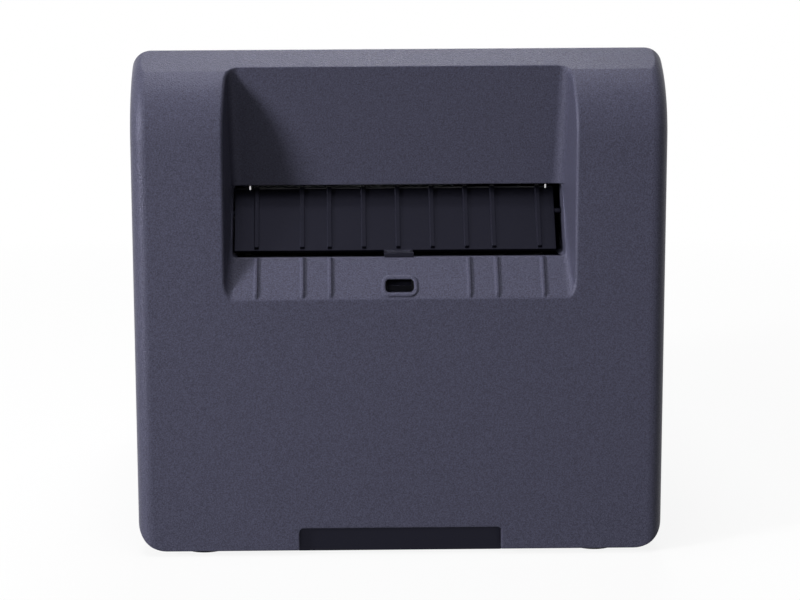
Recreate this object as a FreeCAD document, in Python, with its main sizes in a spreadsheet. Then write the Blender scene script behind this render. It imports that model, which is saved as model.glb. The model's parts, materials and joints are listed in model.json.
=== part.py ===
"""Desktop receipt printer for 80 mm paper, in millimetres.

+Z is up. The operator and the paper exit are at -Y, and the ribbed rear paper entry is at +Y.
The origin is in the middle of the footprint, on the table.
"""
import FreeCAD, Part
import math
import os
from types import SimpleNamespace

import Sketcher
from FreeCAD import Placement, Rotation, Vector

SIZES = {
    # casing
    "body_width": 144.0,
    "body_depth": 194.0,
    "shell_height": 136.0,
    "foot_drop": 1.5,
    "wall": 2.5,
    "bottom_corner": 8.1,
    "top_corner": 5.2,
    "rear_edge_round": 4.5,
    "front_edge_round": 6.0,
    "front_bevel": 6.0,
    "rear_bevel_rise": 5.8,
    "rear_curve_rise": 18.8,
    "rear_curve_depth": 6.8,
    "rear_bevel_depth": 6.8,
    "rear_cover_depth": 27.0,
    "lid_height": 33.5,
    "seam_gap": 0.8,
    "fit_gap": 0.3,
    "overcut": 3.0,
    # rear recess and slot
    "recess_half_width": 47.0,
    "recess_wall": 2.0,
    "recess_draft": 7.0,
    "recess_corner": 2.2,
    "recess_fillet": 3.4,
    "recess_bottom": 69.1,
    "ramp_depth": 6.0,
    "ramp_top": 80.0,
    "slot_top": 99.2,
    "throat_depth": 14.0,
    "slot_block_depth": 20.0,
    "lip_depth": 8.0,
    "lip_drop": 4.8,
    "slot_half_width": 45.3,
    "slot_corner": 1.2,
    "rim_round": 1.0,
    "rib_width": 0.9,
    "rib_rise": 0.7,
    "rib_start": 0.3,
    "rib_lead": 1.4,
    "rib_first": 9.4,
    "rib_second": 18.8,
    "rib_third": 26.3,
    "rib_outer": 38.8,
    "window_half_width": 3.9,
    "window_low": 70.9,
    "window_high": 74.3,
    "window_corner": 1.1,
    "window_rim": 0.9,
    "window_rim_rise": 0.35,
    "notch_half_width": 27.7,
    "notch_height": 6.2,
    "notch_corner": 1.3,
    # rear paper guide
    "guide_half_width": 44.1,
    "guide_offset": 0.8,
    "guide_low": 81.5,
    "guide_high": 98.2,
    "guide_foot_depth": 10.3,
    "guide_head_depth": 18.5,
    "guide_sheet": 2.0,
    "guide_lip": 0.7,
    "guide_rib_rise": 0.8,
    "guide_rib_width": 1.2,
    "guide_rib_crown": 0.5,
    "tab_half_width": 3.95,
    "tab_depth": 5.8,
    "hook_half_width": 3.3,
    "hook_thickness": 1.5,
    "peg_radius": 0.8,
    "peg_height": 91.5,
    "peg_reach": 1.6,
    # lid and hinge
    "barrel_radius": 5.0,
    "hinge_gap": 0.4,
    "hinge_pin_radius": 1.5,
    "hinge_pin_engage": 8.0,
    "ear_inner": 54.3,
    "ear_width": 4.0,
    "ear_radius": 4.6,
    "ear_web": 5.0,
    "running_gap": 0.06,
    "exit_lap": 1.0,
    "exit_width": 6.0,
    "exit_half_length": 43.0,
    "lid_lip": 4.0,
    "lid_rib": 1.5,
    "lid_rib_drop": 5.0,
    "lid_rib_spacing": 34.0,
    "grip_depth": 1.2,
    "grip_length": 34.0,
    "grip_height": 6.0,
    # base tray and feet
    "tray_margin": 10.5,
    "tray_floor": 2.5,
    "tray_rim": 6.0,
    "foot_radius": 6.0,
    "foot_seat": 1.0,
    "foot_inset_x": 18.0,
    "foot_inset_y": 10.0,
    "bay_half_width": 34.0,
    "bay_length": 44.0,
    "bay_height": 22.0,
    "bay_wall": 2.0,
    "cover_ledge": 2.0,
    "cover_sheet": 1.3,
    # roll bay chassis
    "roll_radius": 42.5,
    "roll_half_length": 41.5,
    "bay_shell": 2.0,
    "roll_set_back": 64.0,
    "roll_height": 71.5,
    "bay_rim_rise": 6.0,
    "platform_drop": 10.5,
    "platform_sheet": 2.5,
    "platform_half_width": 56.0,
    "leg_radius": 4.0,
    "leg_x": 50.5,
    "rear_leg_x": 39.0,
    "rear_leg_back": 26.0,
    # print unit
    "platen_setback": 47.0,
    "platen_drop": 16.5,
    "platen_radius": 5.5,
    "platen_half_length": 40.5,
    "platen_shaft_radius": 2.5,
    "bushing_radius": 4.5,
    "bracket_sheet": 1.2,
    "bracket_inner": 43.6,
    "bracket_drop": 4.0,
    "bracket_length": 22.0,
    "arm_half_width": 6.3,
    "boss_radius": 3.2,
    "frame_inner": 46.5,
    "frame_sheet": 1.2,
    "frame_front": 22.0,
    "frame_rear": 14.0,
    "frame_rise": 5.0,
    "notch_clearance": 1.0,
    "head_tilt": 12.0,
    "head_half_length": 42.0,
    "head_board": 1.0,
    "head_above": 4.0,
    "head_below": 9.0,
    "heater_radius": 0.25,
    "sink_half_length": 43.0,
    "sink_depth": 4.0,
    "sink_above": 5.0,
    "sink_below": 14.0,
    "sink_fin": 2.0,
    "pivot_back": 9.0,
    "pivot_below": 16.5,
    "pivot_radius": 1.5,
    "lug_radius": 3.0,
    "lug_width": 5.0,
    "spring_sheet": 0.5,
    "spring_width": 10.0,
    "spring_x": 22.0,
    "spring_gap": 1.0,
    # drive
    "gear_module": 0.7,
    "platen_teeth": 22,
    "small_teeth": 18,
    "big_teeth": 45,
    "pinion_teeth": 15,
    "mesh_play": 0.12,
    "gear_width": 4.0,
    "gear_stand_off": 1.8,
    "gear_spacing": 0.7,
    "stud_radius": 2.0,
    "motor_radius": 14.0,
    "motor_length": 20.0,
    "motor_boss_radius": 5.0,
    "motor_shaft_radius": 1.5,
    "motor_shaft_engage": 14.0,
    "motor_ear": 5.0,
    # lid release
    "lever_sheet": 2.0,
    "lever_stand_off": 0.8,
    "lever_back": 16.0,
    "lever_below": 23.0,
    "lever_stud_radius": 2.0,
    "lever_hub": 5.0,
    "lever_arm": 7.0,
    "lever_tab_length": 8.0,
    "lever_tab_width": 7.0,
    "lever_slot_travel": 6.6,
    "hook_reach": 4.2,
    # controls
    "button_inset": 24.0,
    "button_rise": 13.0,
    "button_half_width": 8.0,
    "button_half_height": 4.5,
    "button_corner": 2.0,
    "button_recess": 0.2,
    "button_flange": 1.2,
    "button_flange_sheet": 1.0,
    "button_travel": 0.6,
    "lamp_radius": 1.5,
    "lamp_gap": 18.0,
    "lamp_pitch": 6.0,
    "lamp_count": 3,
    "panel_board": 1.6,
    "panel_gap": 3.6,
    "panel_left": 38.0,
    "panel_right": 18.0,
    "panel_half_height": 8.0,
    "switch_leg_gap": 14.5,
    "switch_height": 26.0,
    "switch_half_width": 6.5,
    "switch_half_height": 9.5,
    "switch_length": 17.0,
    "switch_wall": 1.2,
    "rocker_pivot_depth": 4.5,
    "rocker_axle_radius": 1.0,
    "rocker_half_angle": 6.0,
    "rocker_depth": 5.0,
    # boards and sockets
    "board_half_width": 34.0,
    "board_front": -40.0,
    "board_rear": 46.0,
    "board_height": 8.5,
    "board_sheet": 1.6,
    "board_post_radius": 3.0,
    "board_post_x": 30.0,
    "board_post_inset": 5.0,
    "plate_sheet": 1.0,
    "plate_half_width": 35.0,
    "plate_height": 22.0,
    "plate_gap": 0.4,
    "socket_stand_out": 1.5,
    "socket_wall": 1.2,
    "screw_radius": 1.3,
    "screw_head_radius": 2.6,
    "screw_head": 1.6,
    "screw_slot": 0.7,
    "screw_length": 6.0,
    "chute_sheet": 2.5,
    "sensor_x": 12.0,
    "tear_sheet": 0.8,
    "tear_height": 6.0,
    "tear_teeth": 28,
    "tear_tooth": 1.2,
}

# Widths and heights of the four sockets, from +X to -X as seen from the cable bay.
SOCKETS = {
    "power_inlet": (10.0, 11.0, 14.0),
    "usb_socket": (12.0, 11.0, 16.0),
    "ethernet_socket": (16.0, 13.5, 21.0),
    "drawer_socket": (13.0, 12.0, 17.0),
}
SOCKET_SPACING = 3.0

doc = FreeCAD.newDocument("ReceiptPrinter")
sheet = doc.addObject("Spreadsheet::Sheet", "Sizes")
for row, (alias, number) in enumerate(SIZES.items(), start=1):
    sheet.set(f"A{row}", alias)
    sheet.set(f"B{row}", str(number))
    sheet.setAlias(f"B{row}", alias)
doc.recompute()


class Size:
    """A length: its value now, and the expression over spreadsheet cells that gives it."""

    def __init__(self, value, text):
        self.value = value
        self.text = text

    def __add__(self, other):
        other = size(other)
        return Size(self.value + other.value, f"({self.text} + {other.text})")

    def __sub__(self, other):
        other = size(other)
        return Size(self.value - other.value, f"({self.text} - {other.text})")

    def __mul__(self, other):
        other = size(other)
        return Size(self.value * other.value, f"({self.text} * {other.text})")

    def __truediv__(self, other):
        other = size(other)
        return Size(self.value / other.value, f"({self.text} / {other.text})")

    def __radd__(self, other):
        return size(other) + self

    def __rsub__(self, other):
        return size(other) - self

    def __rmul__(self, other):
        return size(other) * self

    def __neg__(self):
        return Size(-self.value, f"(0 - {self.text})")

    def tan(self):
        """Tangent of a size in degrees."""
        return Size(math.tan(math.radians(self.value)), f"tan({self.text})")

    def root(self):
        return Size(math.sqrt(self.value), f"sqrt({self.text})")


def size(number):
    if isinstance(number, Size):
        return number
    return Size(float(number), repr(float(number)))


s = SimpleNamespace(**{alias: Size(float(number), f"Sizes.{alias}") for alias, number in SIZES.items()})

# Main planes and axes, all from the cells.
half_width = s.body_width / 2
rear = s.body_depth / 2
front = -rear
floor = s.foot_drop
top = floor + s.shell_height
lid_seam = top - s.lid_height
seam = rear - s.rear_cover_depth
hinge_y = seam - s.hinge_gap - s.barrel_radius
hinge_z = top - s.barrel_radius
platen_y = front + s.platen_setback
platen_z = top - s.platen_drop
tray_top = floor + s.tray_floor
roll_y = platen_y + s.roll_set_back
roll_z = floor + s.roll_height
platform_z = roll_z - s.platform_drop
lip_height = s.shell_height - s.lip_drop
tray_half_width = half_width - s.tray_margin
button_x = half_width - s.button_inset
button_z = lid_seam + s.button_rise
switch_x = s.switch_leg_gap - s.leg_x
panel_x = (button_x - s.panel_left, button_x + s.panel_right)
frame_outer = s.frame_inner + s.frame_sheet

PLANES = {"xy": ("XY_Plane", "z"), "xz": ("XZ_Plane", "y"), "yz": ("YZ_Plane", "x")}
TURNS = {
    "x": Rotation(Vector(0, 1, 0), 90),
    "y": Rotation(Vector(1, 0, 0), -90),
    "z": Rotation(),
}
PARTS = []


def place(obj, x=None, y=None, z=None):
    for axis, value in (("x", x), ("y", y), ("z", z)):
        if value is not None:
            obj.setExpression(f".Placement.Base.{axis}", size(value).text)
    return obj


def box(x, y, z):
    """A block between two bounds on each axis."""
    obj = doc.addObject("Part::Box", "Block")
    for name, (low, high) in zip(("Length", "Width", "Height"), (x, y, z)):
        obj.setExpression(name, (size(high) - low).text)
    return place(obj, x[0], y[0], z[0])


def rod(axis, across, radius, span):
    """A cylinder along one axis. across holds its place on the other two axes, in X, Y, Z order."""
    obj = doc.addObject("Part::Cylinder", "Rod")
    obj.Placement = Placement(Vector(), TURNS[axis])
    obj.setExpression("Radius", size(radius).text)
    obj.setExpression("Height", (size(span[1]) - span[0]).text)
    base = list(across)
    base.insert("xyz".index(axis), span[0])
    return place(obj, *base)


def tube(axis, across, outer, inner, span):
    return cut(rod(axis, across, outer, span), rod(axis, across, inner, span))


def draw(sketch, outline):
    """Draw and bind a closed outline. A corner is (u, v), or (u, v, radius, centre) after an arc."""
    corners = [(size(c[0]), size(c[1])) + tuple(c[2:]) for c in outline]
    count = len(corners)
    for index, start in enumerate(corners):
        end = corners[(index + 1) % count]
        first = Vector(start[0].value, start[1].value, 0)
        last = Vector(end[0].value, end[1].value, 0)
        if len(end) == 2:
            sketch.addGeometry(Part.LineSegment(first, last))
            continue
        centre = Vector(end[3][0].value, end[3][1].value, 0)
        angles = [math.atan2(p.y - centre.y, p.x - centre.x) for p in (first, last)]
        circle = Part.Circle(centre, Vector(0, 0, 1), end[2].value)
        sketch.addGeometry(Part.ArcOfCircle(circle, *angles))
    for index, corner in enumerate(corners):
        following = (index + 1) % count
        sketch.addConstraint(Sketcher.Constraint("Coincident", index, 2, following, 1))
        for kind, value in zip(("DistanceX", "DistanceY"), corner):
            place_in = sketch.addConstraint(Sketcher.Constraint(kind, -1, 1, index, 1, value.value))
            sketch.setExpression(f"Constraints[{place_in}]", value.text)
        if len(corners[following]) > 2:
            radius = corners[following][2]
            place_in = sketch.addConstraint(Sketcher.Constraint("Radius", index, radius.value))
            sketch.setExpression(f"Constraints[{place_in}]", radius.text)


def edges_at(shape, plane, corner):
    """Names of the edges that run along the pad from one corner of its outline."""
    axes = ["xyz".index(letter) for letter in plane]
    across = "xyz".index(PLANES[plane][1])
    names = []
    for number, edge in enumerate(shape.Edges, start=1):
        ends = [vertex.Point for vertex in edge.Vertexes]
        touches = any(
            all(abs(end[axis] - value.value) < 1e-4 for axis, value in zip(axes, corner)) for end in ends
        )
        if touches and abs(ends[0][across] - ends[-1][across]) > 1e-3:
            names.append(f"Edge{number}")
    return names


def prism(plane, outline, span, rounds=None):
    """A sketched outline padded across its plane, with rounds at the corners that rounds numbers."""
    role, across = PLANES[plane]
    body = doc.addObject("PartDesign::Body", "Prism")
    sketch = body.newObject("Sketcher::SketchObject", "Outline")
    origin = [feature for feature in body.Origin.OriginFeatures if feature.Role == role]
    sketch.AttachmentSupport = [(origin[0], "")]
    sketch.MapMode = "FlatFace"
    draw(sketch, outline)
    pad = body.newObject("PartDesign::Pad", "Pad")
    pad.Profile = sketch
    pad.setExpression("Length", (size(span[1]) - span[0]).text)
    groups = {}
    for corner, radius in (rounds or {}).items():
        groups.setdefault(radius.text, (radius, []))[1].append(corner)
    last = pad
    for radius, indices in groups.values():
        doc.recompute()
        names = []
        for index in indices:
            names += edges_at(last.Shape, plane, [size(value) for value in outline[index][:2]])
        fillet = body.newObject("PartDesign::Fillet", "Round")
        fillet.Base = (last, names)
        fillet.setExpression("Radius", radius.text)
        last = fillet
    body.Tip = last
    return place(body, **{across: span[1] if plane == "xz" else span[0]})


def round_edges(base, wanted, radius):
    """Round those edges of a finished solid that the test wanted picks."""
    doc.recompute()
    names = [f"Edge{number}" for number, edge in enumerate(base.Shape.Edges, start=1) if wanted(edge)]
    body = doc.addObject("PartDesign::Body", "Rounded")
    body.BaseFeature = base
    fillet = body.newObject("PartDesign::Fillet", "EdgeRound")
    fillet.Base = (body.Group[0], names)
    fillet.setExpression("Radius", radius.text)
    body.Tip = fillet
    return body


def fuse(*shapes):
    obj = doc.addObject("Part::MultiFuse", "Union")
    obj.Shapes = list(shapes)
    obj.Refine = True
    return obj


def common(*shapes):
    obj = doc.addObject("Part::MultiCommon", "Overlap")
    obj.Shapes = list(shapes)
    return obj


def cut(base, *tools):
    obj = doc.addObject("Part::Cut", "Difference")
    obj.Base = base
    obj.Tool = tools[0] if len(tools) == 1 else fuse(*tools)
    return obj


def group(*shapes):
    obj = doc.addObject("Part::Compound", "Group")
    obj.Links = list(shapes)
    return obj


def keep(obj, label):
    obj.Label = label
    PARTS.append(obj)
    return obj


def both(low, high):
    """The same span on the right and on the left of the middle plane."""
    return (low, high), (-high, -low)


def centred(half, middle=0.0):
    return size(middle) - half, size(middle) + half


def rectangle(u, v):
    return [(u[0], v[0]), (u[1], v[0]), (u[1], v[1]), (u[0], v[1])]


def behind(depth, height):
    """A place in the side view from its depth behind the rear face and its height on the shell."""
    return rear - depth, floor + height


def screw(x, y, seat, down):
    """A slotted screw. down is true where it points to the table, and its head sits on seat."""
    sign = 1 if down else -1
    head = sorted((seat, seat + sign * s.screw_head), key=lambda level: level.value)
    shank = sorted((seat, seat - sign * s.screw_length), key=lambda level: level.value)
    far = seat + sign * s.screw_head
    groove = sorted((far, far - sign * s.screw_slot), key=lambda level: level.value)
    slot = box(centred(s.screw_head_radius, x), centred(s.screw_slot / 2, y), groove)
    solid = fuse(rod("z", (x, y), s.screw_head_radius, head), rod("z", (x, y), s.screw_radius, shank))
    return cut(solid, slot)


# Casing envelope: side profile with rounded upright edges, trimmed to the rounded end view.
def envelope(inset):
    run = s.rear_curve_depth
    rise = s.rear_curve_rise
    bend = (run * run + rise * rise) / (2 * run)
    curve_z = top - s.rear_bevel_rise - rise
    inner_bend = bend - inset
    arc_end = (rear - bend + inner_bend * (bend - run) / bend, curve_z + inner_bend * rise / bend)
    bevel_rise = s.rear_bevel_rise
    slant = (s.rear_bevel_depth * s.rear_bevel_depth + bevel_rise * bevel_rise).root()
    crest_y = rear - run - s.rear_bevel_depth + inset * (s.rear_bevel_depth - slant) / bevel_rise
    profile = [
        (front + inset, floor + inset),
        (rear - inset, floor + inset),
        (rear - inset, curve_z),
        (*arc_end, inner_bend, (rear - bend, curve_z)),
        (crest_y, top - inset),
        (front + s.front_bevel, top - inset),
        (front + inset, top - s.front_bevel),
    ]
    side = prism("yz", profile, centred(half_width - inset))
    shrink = inset * s.rear_edge_round / (s.rear_edge_round + 1)
    for radius, limits in (
        (s.rear_edge_round, (arc_end[0], rear)),
        (s.front_edge_round, (front, front + inset)),
    ):
        doc.recompute()
        base = side.Tip
        fillet = side.newObject("PartDesign::Fillet", "UprightRound")
        fillet.Base = (base, upright_edges(base.Shape, limits))
        fillet.setExpression("Radius", (radius - shrink).text)
    doc.recompute()
    end_view = prism(
        "xz",
        rectangle(centred(half_width - inset), (floor + inset, top - inset)),
        (front, rear),
        rounds={0: s.bottom_corner - inset, 1: s.bottom_corner - inset,
                2: s.top_corner - inset, 3: s.top_corner - inset},
    )
    return common(side, end_view)


def upright_edges(shape, limits):
    """Names of the edges that climb the end faces between two limits in Y."""
    names = []
    for number, edge in enumerate(shape.Edges, start=1):
        ends = [vertex.Point for vertex in edge.Vertexes]
        inside = all(limits[0].value - 1e-3 < end.y < limits[1].value + 1e-3 for end in ends)
        if inside and abs(ends[0].x - ends[-1].x) < 1e-3 and abs(ends[0].z - ends[-1].z) > 1e-3:
            names.append(f"Edge{number}")
    return names


outer = envelope(s.foot_drop * 0.0)
inner = envelope(s.wall)
skin = cut(outer, inner)
wide = centred(half_width + s.overcut)
tray_opening = centred(tray_half_width + s.fit_gap)


# Rear cover: recess, slot, ramp ribs, latch window, cable notch and the lid's hinge ears.
def ramp_at(height):
    """Depth of the ramp's face at a height on the shell."""
    return (height - s.recess_bottom) * s.ramp_depth / (s.ramp_top - s.recess_bottom)


def recess_tools():
    above = s.shell_height + s.overcut
    ramp_slope = (s.ramp_top - s.recess_bottom) / s.ramp_depth
    lip_top = s.lip_depth - (s.throat_depth - s.lip_depth) * (above - lip_height) / (lip_height - s.slot_top)
    foot = behind(-s.overcut, s.recess_bottom - s.overcut * ramp_slope)
    ramp_view = [
        foot,
        behind(-s.overcut, s.slot_top),
        behind(s.throat_depth, s.slot_top),
        behind(s.ramp_depth, s.ramp_top),
    ]
    wall_view = [
        behind(-s.overcut, s.slot_top),
        behind(-s.overcut, above),
        behind(lip_top, above),
        behind(s.throat_depth, s.slot_top),
    ]
    block_view = [
        foot,
        behind(-s.overcut, above),
        behind(lip_top + s.recess_wall, above),
        behind(s.throat_depth + s.recess_wall, s.slot_top),
        behind(s.slot_block_depth, s.slot_top),
        behind(s.slot_block_depth, s.ramp_top),
        behind(s.ramp_depth + s.recess_wall, s.ramp_top),
        behind(s.wall, s.recess_bottom),
    ]
    lean = s.recess_draft.tan()
    mouth = s.recess_half_width + s.overcut * lean
    throat = s.recess_half_width - s.slot_block_depth * lean
    plan = [
        (-mouth, rear + s.overcut),
        (-throat, rear - s.slot_block_depth),
        (throat, rear - s.slot_block_depth),
        (mouth, rear + s.overcut),
    ]
    funnel = prism("xy", plan, (floor, floor + above))
    lower, upper = (common(prism("yz", view, centred(half_width)), funnel) for view in (ramp_view, wall_view))
    hollow = fuse(
        round_edges(lower, beside_ramp, s.recess_corner),
        round_edges(upper, beside_wall, s.recess_fillet),
    )
    block = common(prism("yz", block_view, centred(s.recess_half_width + s.recess_wall)), outer)
    return block, hollow


def beside_ramp(edge):
    """True for the two edges where the ramp meets the side walls of the recess."""
    first, last = (vertex.Point for vertex in edge.Vertexes)
    climbs = abs(first.z - last.z) > SIZES["rib_lead"]
    below_slot = max(first.z, last.z) < (floor + s.ramp_top).value + 1e-3
    return climbs and below_slot and first.x * last.x > 0


def beside_wall(edge):
    """True for the two edges where the wall over the slot meets the side walls of the recess."""
    first, last = (vertex.Point for vertex in edge.Vertexes)
    climbs = abs(first.z - last.z) > SIZES["rib_lead"]
    above_slot = min(first.z, last.z) > (floor + s.slot_top).value - 1e-3
    indoors = max(first.y, last.y) < rear.value
    return climbs and above_slot and indoors and first.x * last.x > 0


def on_rim(edge):
    """True for the edges along the mouth of the recess that start below the casing's rear bevel."""
    points = edge.discretize(5)
    lowest = min(point.z for point in points)
    if lowest > (top - s.rear_bevel_rise).value - 1e-3:
        return False
    inside = all(abs(point.x) < SIZES["recess_half_width"] + 1e-3 for point in points)
    above = all(point.z > (floor + s.recess_bottom).value - 1e-3 for point in points)
    return inside and above and all(abs(point.y - face_at(point.z)) < 1e-2 for point in points)


def face_at(height):
    """Y of the casing's rear face at a height, up to the top of the bevel."""
    run = SIZES["rear_curve_depth"]
    rise = SIZES["rear_curve_rise"]
    bend = (run * run + rise * rise) / (run + run)
    bevel_z = (top - s.rear_bevel_rise).value
    climb = height - (bevel_z - rise)
    if climb <= 0:
        return rear.value
    if climb <= rise:
        return rear.value - bend + math.sqrt(bend * bend - climb * climb)
    return rear.value - run - SIZES["rear_bevel_depth"] * (height - bevel_z) / SIZES["rear_bevel_rise"]


def ramp_rib(x):
    start = s.recess_bottom + s.rib_start
    lead = start + s.rib_lead
    root = s.recess_wall / 2
    outline = [
        behind(ramp_at(start) + root, start),
        behind(ramp_at(start), start),
        behind(ramp_at(lead) - s.rib_rise, lead),
        behind(s.ramp_depth - s.rib_rise, s.ramp_top),
        behind(s.ramp_depth + root, s.ramp_top),
    ]
    return prism("yz", outline, centred(s.rib_width / 2, x))


def rear_cover():
    block, hollow = recess_tools()
    shell = common(skin, box(wide, (seam, rear + s.overcut), (floor, top)))
    floor_opening = box(tray_opening, (seam - s.overcut, rear - s.wall), (floor - s.overcut, tray_top))
    slot = prism(
        "xz",
        rectangle(centred(s.slot_half_width), (floor + s.ramp_top, floor + s.slot_top)),
        (rear - s.slot_block_depth - s.overcut, rear),
        rounds=dict.fromkeys(range(4), s.slot_corner),
    )
    window_z = (floor + s.window_low, floor + s.window_high)
    window = prism(
        "xz",
        rectangle(centred(s.window_half_width), window_z),
        (rear - s.throat_depth, rear),
        rounds=dict.fromkeys(range(4), s.window_corner),
    )
    rim_z = (window_z[0] - s.window_rim, window_z[1] + s.window_rim)
    rim_view = [
        behind(s.recess_wall, s.recess_bottom),
        behind(-s.window_rim_rise, s.recess_bottom),
        behind(s.ramp_depth - s.window_rim_rise, s.ramp_top),
        behind(s.ramp_depth + s.recess_wall, s.ramp_top),
    ]
    rim = common(
        prism("yz", rim_view, centred(half_width)),
        prism(
            "xz",
            rectangle(centred(s.window_half_width + s.window_rim), rim_z),
            (rear - s.throat_depth, rear),
            rounds=dict.fromkeys(range(4), s.window_corner + s.window_rim),
        ),
    )
    notch = prism(
        "xz",
        rectangle(centred(s.notch_half_width), (floor - s.overcut, floor + s.notch_height)),
        (rear - s.wall - s.overcut, rear + s.overcut),
        rounds={2: s.notch_corner, 3: s.notch_corner},
    )
    peg_y, peg_z = behind(guide_depth(s.peg_height) + s.guide_sheet / 2, s.peg_height)
    pegs = rod("x", (peg_y, peg_z), s.peg_radius + s.running_gap, centred(s.slot_half_width + s.peg_reach))
    positions = (s.rib_second, s.rib_third, s.rib_outer)
    ribs = [ramp_rib(x) for position in positions for x in (position, -position)]
    ears = []
    for span in both(s.ear_inner, s.ear_inner + s.ear_width):
        ears.append(rod("x", (hinge_y, hinge_z), s.ear_radius, span))
        ears.append(box(span, (hinge_y, seam + s.wall), (hinge_z - s.ear_web / 2, hinge_z + s.ear_web / 2)))
    pin_hole = rod("x", (hinge_y, hinge_z), s.hinge_pin_radius, centred(s.ear_inner + s.ear_width))
    softened = round_edges(cut(outer, hollow), on_rim, s.rim_round)
    moulding = cut(common(softened, fuse(cut(shell, floor_opening), block)), slot)
    return cut(fuse(moulding, rim, *ribs, *ears), window, notch, pegs, pin_hole)


def guide_depth(height):
    """Depth of the guide plate's face at a height on the shell."""
    slope = (s.guide_head_depth - s.guide_foot_depth) / (s.guide_high - s.guide_low)
    return s.guide_foot_depth + (height - s.guide_low) * slope


def rear_guide():
    plate_view = [
        behind(s.guide_foot_depth + s.guide_lip, s.guide_low - s.guide_lip),
        behind(s.guide_foot_depth, s.guide_low),
        behind(s.guide_head_depth, s.guide_high),
        behind(s.guide_head_depth + s.guide_sheet, s.guide_high),
        behind(s.guide_foot_depth + s.guide_sheet, s.guide_low - s.guide_lip),
    ]
    plate = prism("yz", plate_view, centred(s.guide_half_width, s.guide_offset))
    rib_low = s.guide_low + s.rib_start
    rib_view = [
        behind(guide_depth(rib_low) + s.rib_rise, rib_low),
        behind(guide_depth(rib_low), rib_low),
        behind(guide_depth(rib_low + s.guide_rib_rise) - s.guide_rib_rise, rib_low + s.guide_rib_rise),
        behind(s.guide_head_depth - s.guide_rib_rise, s.guide_high + s.guide_rib_crown),
        behind(s.guide_head_depth + s.guide_sheet, s.guide_high + s.guide_rib_crown),
        behind(s.guide_head_depth + s.guide_sheet, s.guide_high - s.guide_rib_crown),
    ]
    places = [size(0.0)]
    for position in (s.rib_first, s.rib_second, s.rib_third, s.rib_outer):
        places += [position, -position]
    ribs = [prism("yz", rib_view, centred(s.guide_rib_width / 2, x)) for x in places]
    tab_view = [
        behind(s.tab_depth, s.ramp_top),
        behind(s.tab_depth, s.guide_low - s.guide_lip / 2),
        behind(s.guide_foot_depth + s.rib_rise, s.guide_low),
        behind(s.guide_foot_depth + s.guide_sheet, s.guide_low - s.guide_lip),
        behind(s.guide_foot_depth + s.guide_sheet, s.ramp_top),
    ]
    hook_foot = s.window_low + s.fit_gap
    nose_top = (s.window_low + s.window_high) / 2
    wall_in = s.recess_wall + s.fit_gap
    hook_view = [
        behind(s.ramp_depth + wall_in, s.ramp_top),
        behind(ramp_at(nose_top) + wall_in, nose_top),
        behind(ramp_at(nose_top) + s.rib_rise, nose_top),
        behind(ramp_at(hook_foot) + s.rib_rise, hook_foot),
        behind(ramp_at(hook_foot) + wall_in + s.hook_thickness, hook_foot),
        behind(s.ramp_depth + wall_in + s.hook_thickness, s.ramp_top),
        behind(s.ramp_depth + wall_in + s.hook_thickness, s.guide_low),
        behind(s.ramp_depth + wall_in, s.guide_low),
    ]
    peg_y, peg_z = behind(guide_depth(s.peg_height) + s.guide_sheet / 2, s.peg_height)
    peg_end = s.slot_half_width + s.peg_reach - s.fit_gap
    peg_root = s.guide_half_width - s.guide_sheet
    peg_spans = ((-peg_end, s.guide_offset - peg_root), (s.guide_offset + peg_root, peg_end))
    return fuse(
        plate,
        *ribs,
        prism("yz", tab_view, centred(s.tab_half_width)),
        prism("yz", hook_view, centred(s.hook_half_width)),
        *[rod("x", (peg_y, peg_z), s.peg_radius, span) for span in peg_spans],
    )


# Lower case, front cover and lid.
swing_radius = hinge_y - (platen_y - s.platen_radius - s.exit_lap)
switch_y = front + s.button_recess
switch_z = floor + s.switch_height


def lamp_x(index):
    """Lamps stand in a row on the button's left, the nearest first."""
    return button_x - s.lamp_gap - s.lamp_pitch * index


def lower_case():
    shell = common(skin, box(wide, (front, seam - s.seam_gap / 2), (floor, lid_seam)))
    floor_opening = box(tray_opening, (front + s.wall, seam), (floor - s.overcut, tray_top))
    switch_hole = box(
        centred(s.switch_half_width + s.fit_gap, switch_x),
        (front - s.overcut, front + s.wall + s.overcut),
        centred(s.switch_half_height + s.fit_gap, switch_z),
    )
    return cut(shell, floor_opening, switch_hole)


def front_cover():
    upper = common(skin, box(wide, (front, platen_y), (lid_seam + s.fit_gap, top)))
    swing = rod("x", (hinge_y, hinge_z), swing_radius + s.hinge_gap, wide)
    exit_rear = hinge_y - swing_radius
    exit_slot = box(
        centred(s.exit_half_length),
        (exit_rear - s.exit_width, platen_y),
        (lid_seam, top + s.overcut),
    )
    button_hole = prism(
        "xz",
        rectangle(
            centred(s.button_half_width + s.fit_gap, button_x),
            centred(s.button_half_height + s.fit_gap, button_z),
        ),
        (front - s.overcut, front + s.wall + s.fit_gap),
        rounds=dict.fromkeys(range(4), s.button_corner + s.fit_gap),
    )
    lamp_holes = [
        rod("y", (lamp_x(index), button_z), s.lamp_radius, (front - s.overcut, front + s.wall))
        for index in range(SIZES["lamp_count"])
    ]
    tab_front = lever_y - s.lever_tab_length / 2 - s.lever_slot_travel
    lever_slot = box(
        (lever_x[0] - s.fit_gap, lever_x[0] + s.lever_tab_width + s.fit_gap),
        (tab_front, lever_y + s.lever_tab_length / 2 + s.fit_gap),
        (top - s.wall - s.overcut, top + s.overcut),
    )
    posts = [
        rod("y", (x, button_z - s.panel_half_height + s.boss_radius), s.boss_radius,
            (front + s.wall / 2, front + s.wall + s.panel_gap))
        for x in (panel_x[0] + s.boss_radius, panel_x[1] - s.boss_radius)
    ]
    return cut(fuse(cut(upper, swing), *posts), exit_slot, button_hole, lever_slot, *lamp_holes)


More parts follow.
